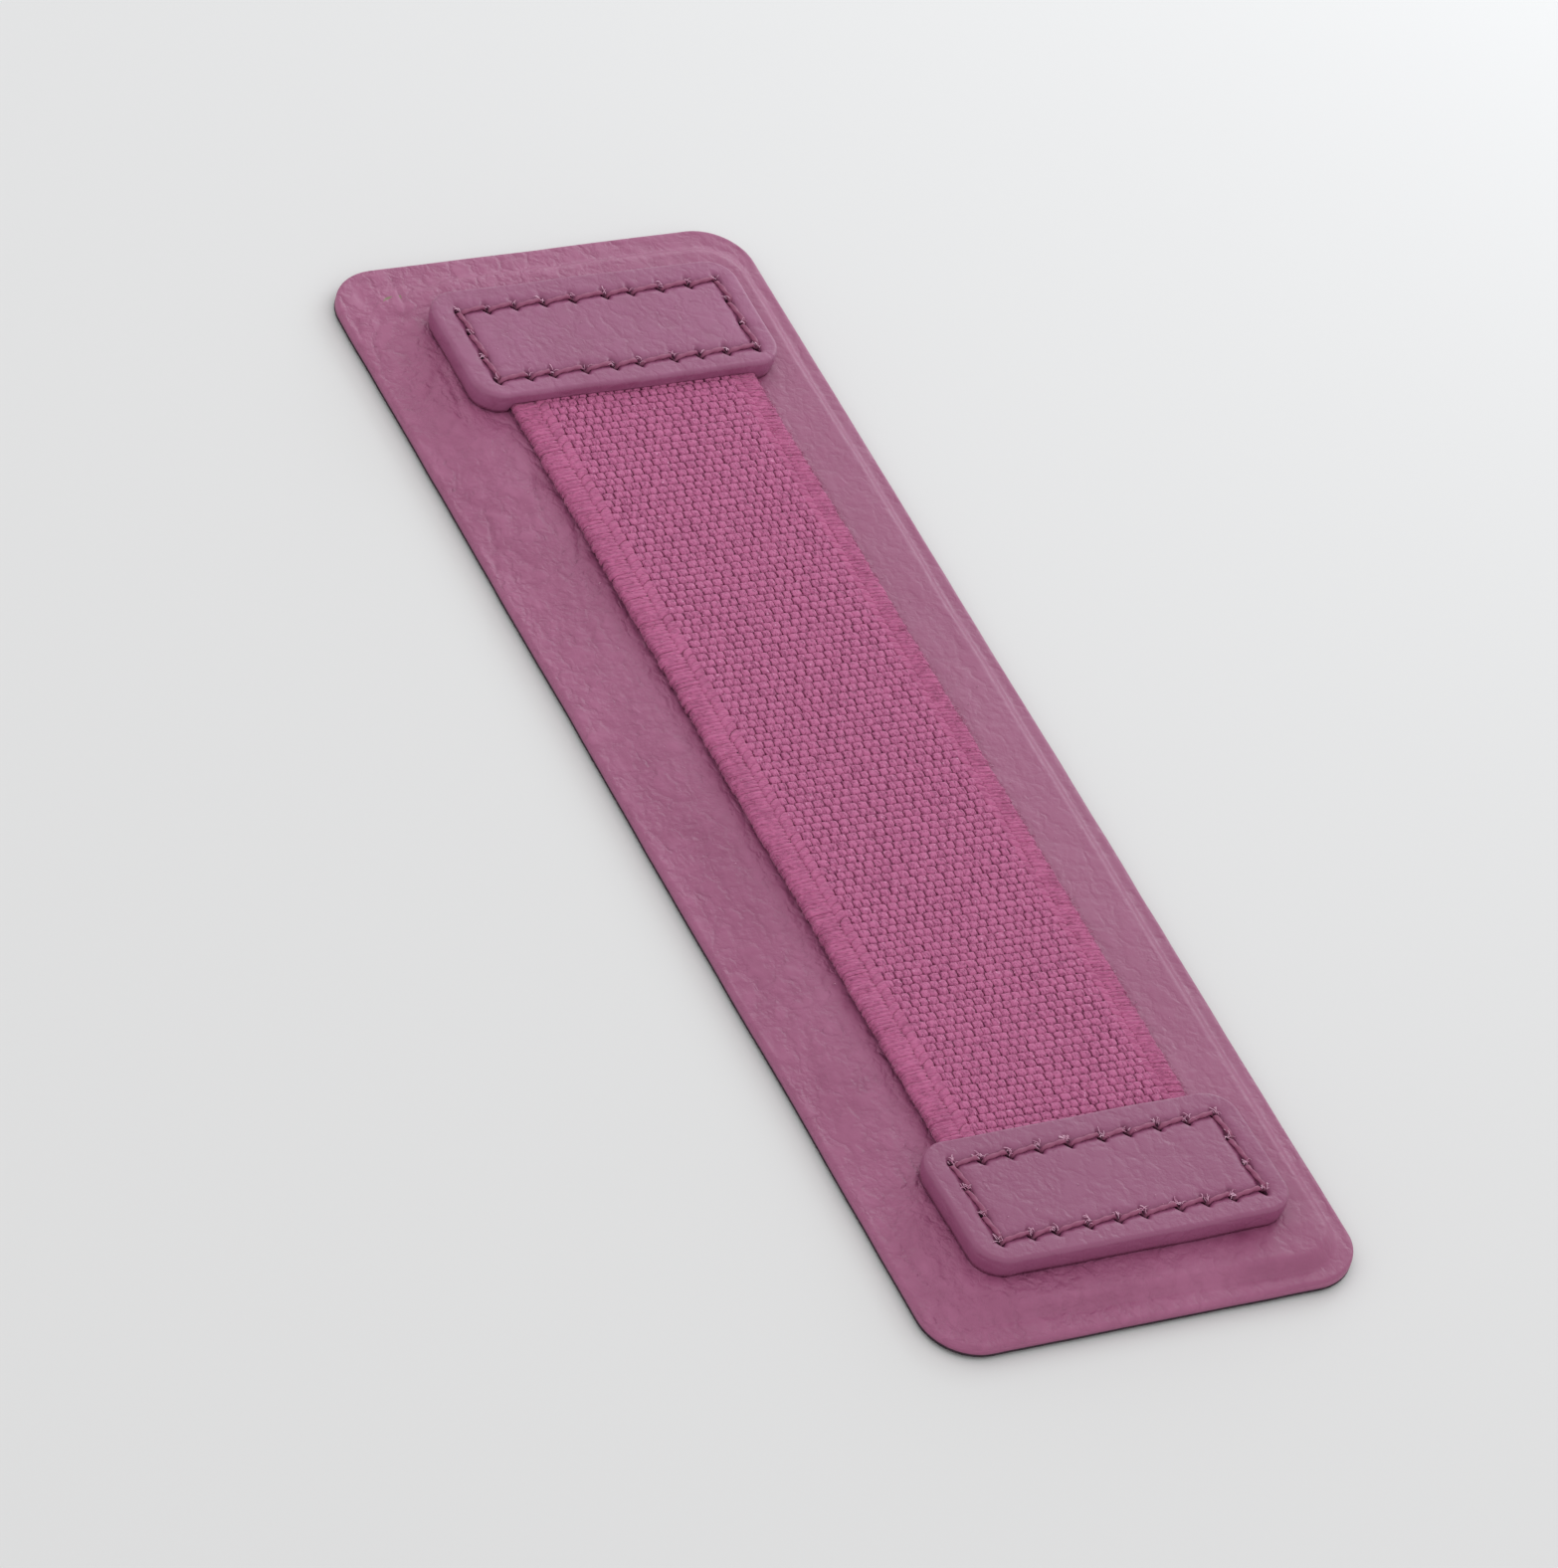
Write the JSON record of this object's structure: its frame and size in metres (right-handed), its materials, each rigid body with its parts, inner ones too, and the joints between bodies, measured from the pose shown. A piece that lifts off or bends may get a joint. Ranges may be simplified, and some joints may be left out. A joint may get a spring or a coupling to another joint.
{
  "type": "phone finger strap",
  "caption": "Woven elastic finger band held by box-stitched leather tabs on a flat leather base with an adhesive underside.",
  "frame": {"origin": "centre of the adhesive underside, on the surface that the strap is stuck to", "axes": "+X across the strap, +Y along the strap towards the upper tab, +Z out of the surface towards the finger"},
  "size_m": [0.0308, 0.1006, 0.0034],
  "materials": {
    "leather": "fine-grained nappa, semi-gloss, dusty magenta",
    "elastic": "woven elastic webbing, matte, magenta",
    "thread": "twisted polyester, soft sheen, dark magenta",
    "lining": "split leather, matte",
    "board": "fibreboard, matte",
    "adhesive": "tacky foam, matte, near black"
  },
  "bodies": {
    "root": {"adhesive_pad": "adhesive", "base_lining": "lining", "base_board": "board", "base_cover": "leather", "elastic_band": "elastic", "upper_tab": "leather", "lower_tab": "leather", "upper_seam_thread": "thread", "lower_seam_thread": "thread"}
  },
  "joints": []
}
